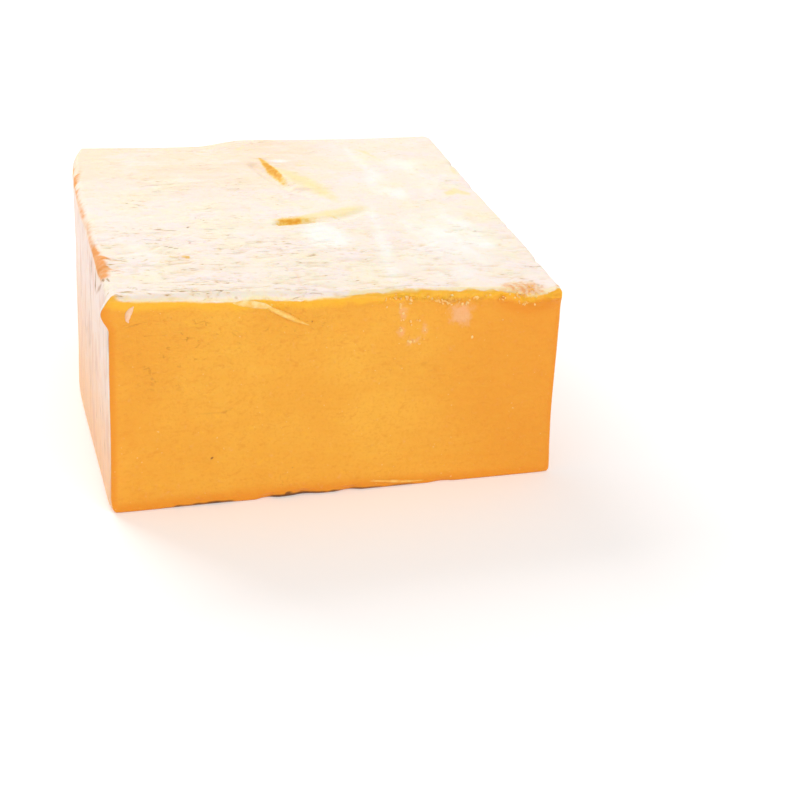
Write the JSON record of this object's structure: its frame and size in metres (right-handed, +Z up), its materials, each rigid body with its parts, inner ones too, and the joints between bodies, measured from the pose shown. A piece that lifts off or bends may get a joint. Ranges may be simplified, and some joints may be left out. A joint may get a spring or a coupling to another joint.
{
  "type": "pinconning cheese",
  "caption": "Block of firm orange-yellow cheese with a pale crinkled rind, its front cut away to a smooth flat face with a rolled rim",
  "frame": {"origin": "under the middle of the block, on the surface that it rests on", "axes": "+X to the right along the cut face, +Y back from the cut face, +Z up; the cut face looks towards -Y"},
  "size_m": [0.1842, 0.2162, 0.0917],
  "materials": {
    "cheese": "satin cut paste, dusty matte rind"
  },
  "bodies": {
    "root": {"cheese_block": "cheese"}
  },
  "joints": []
}
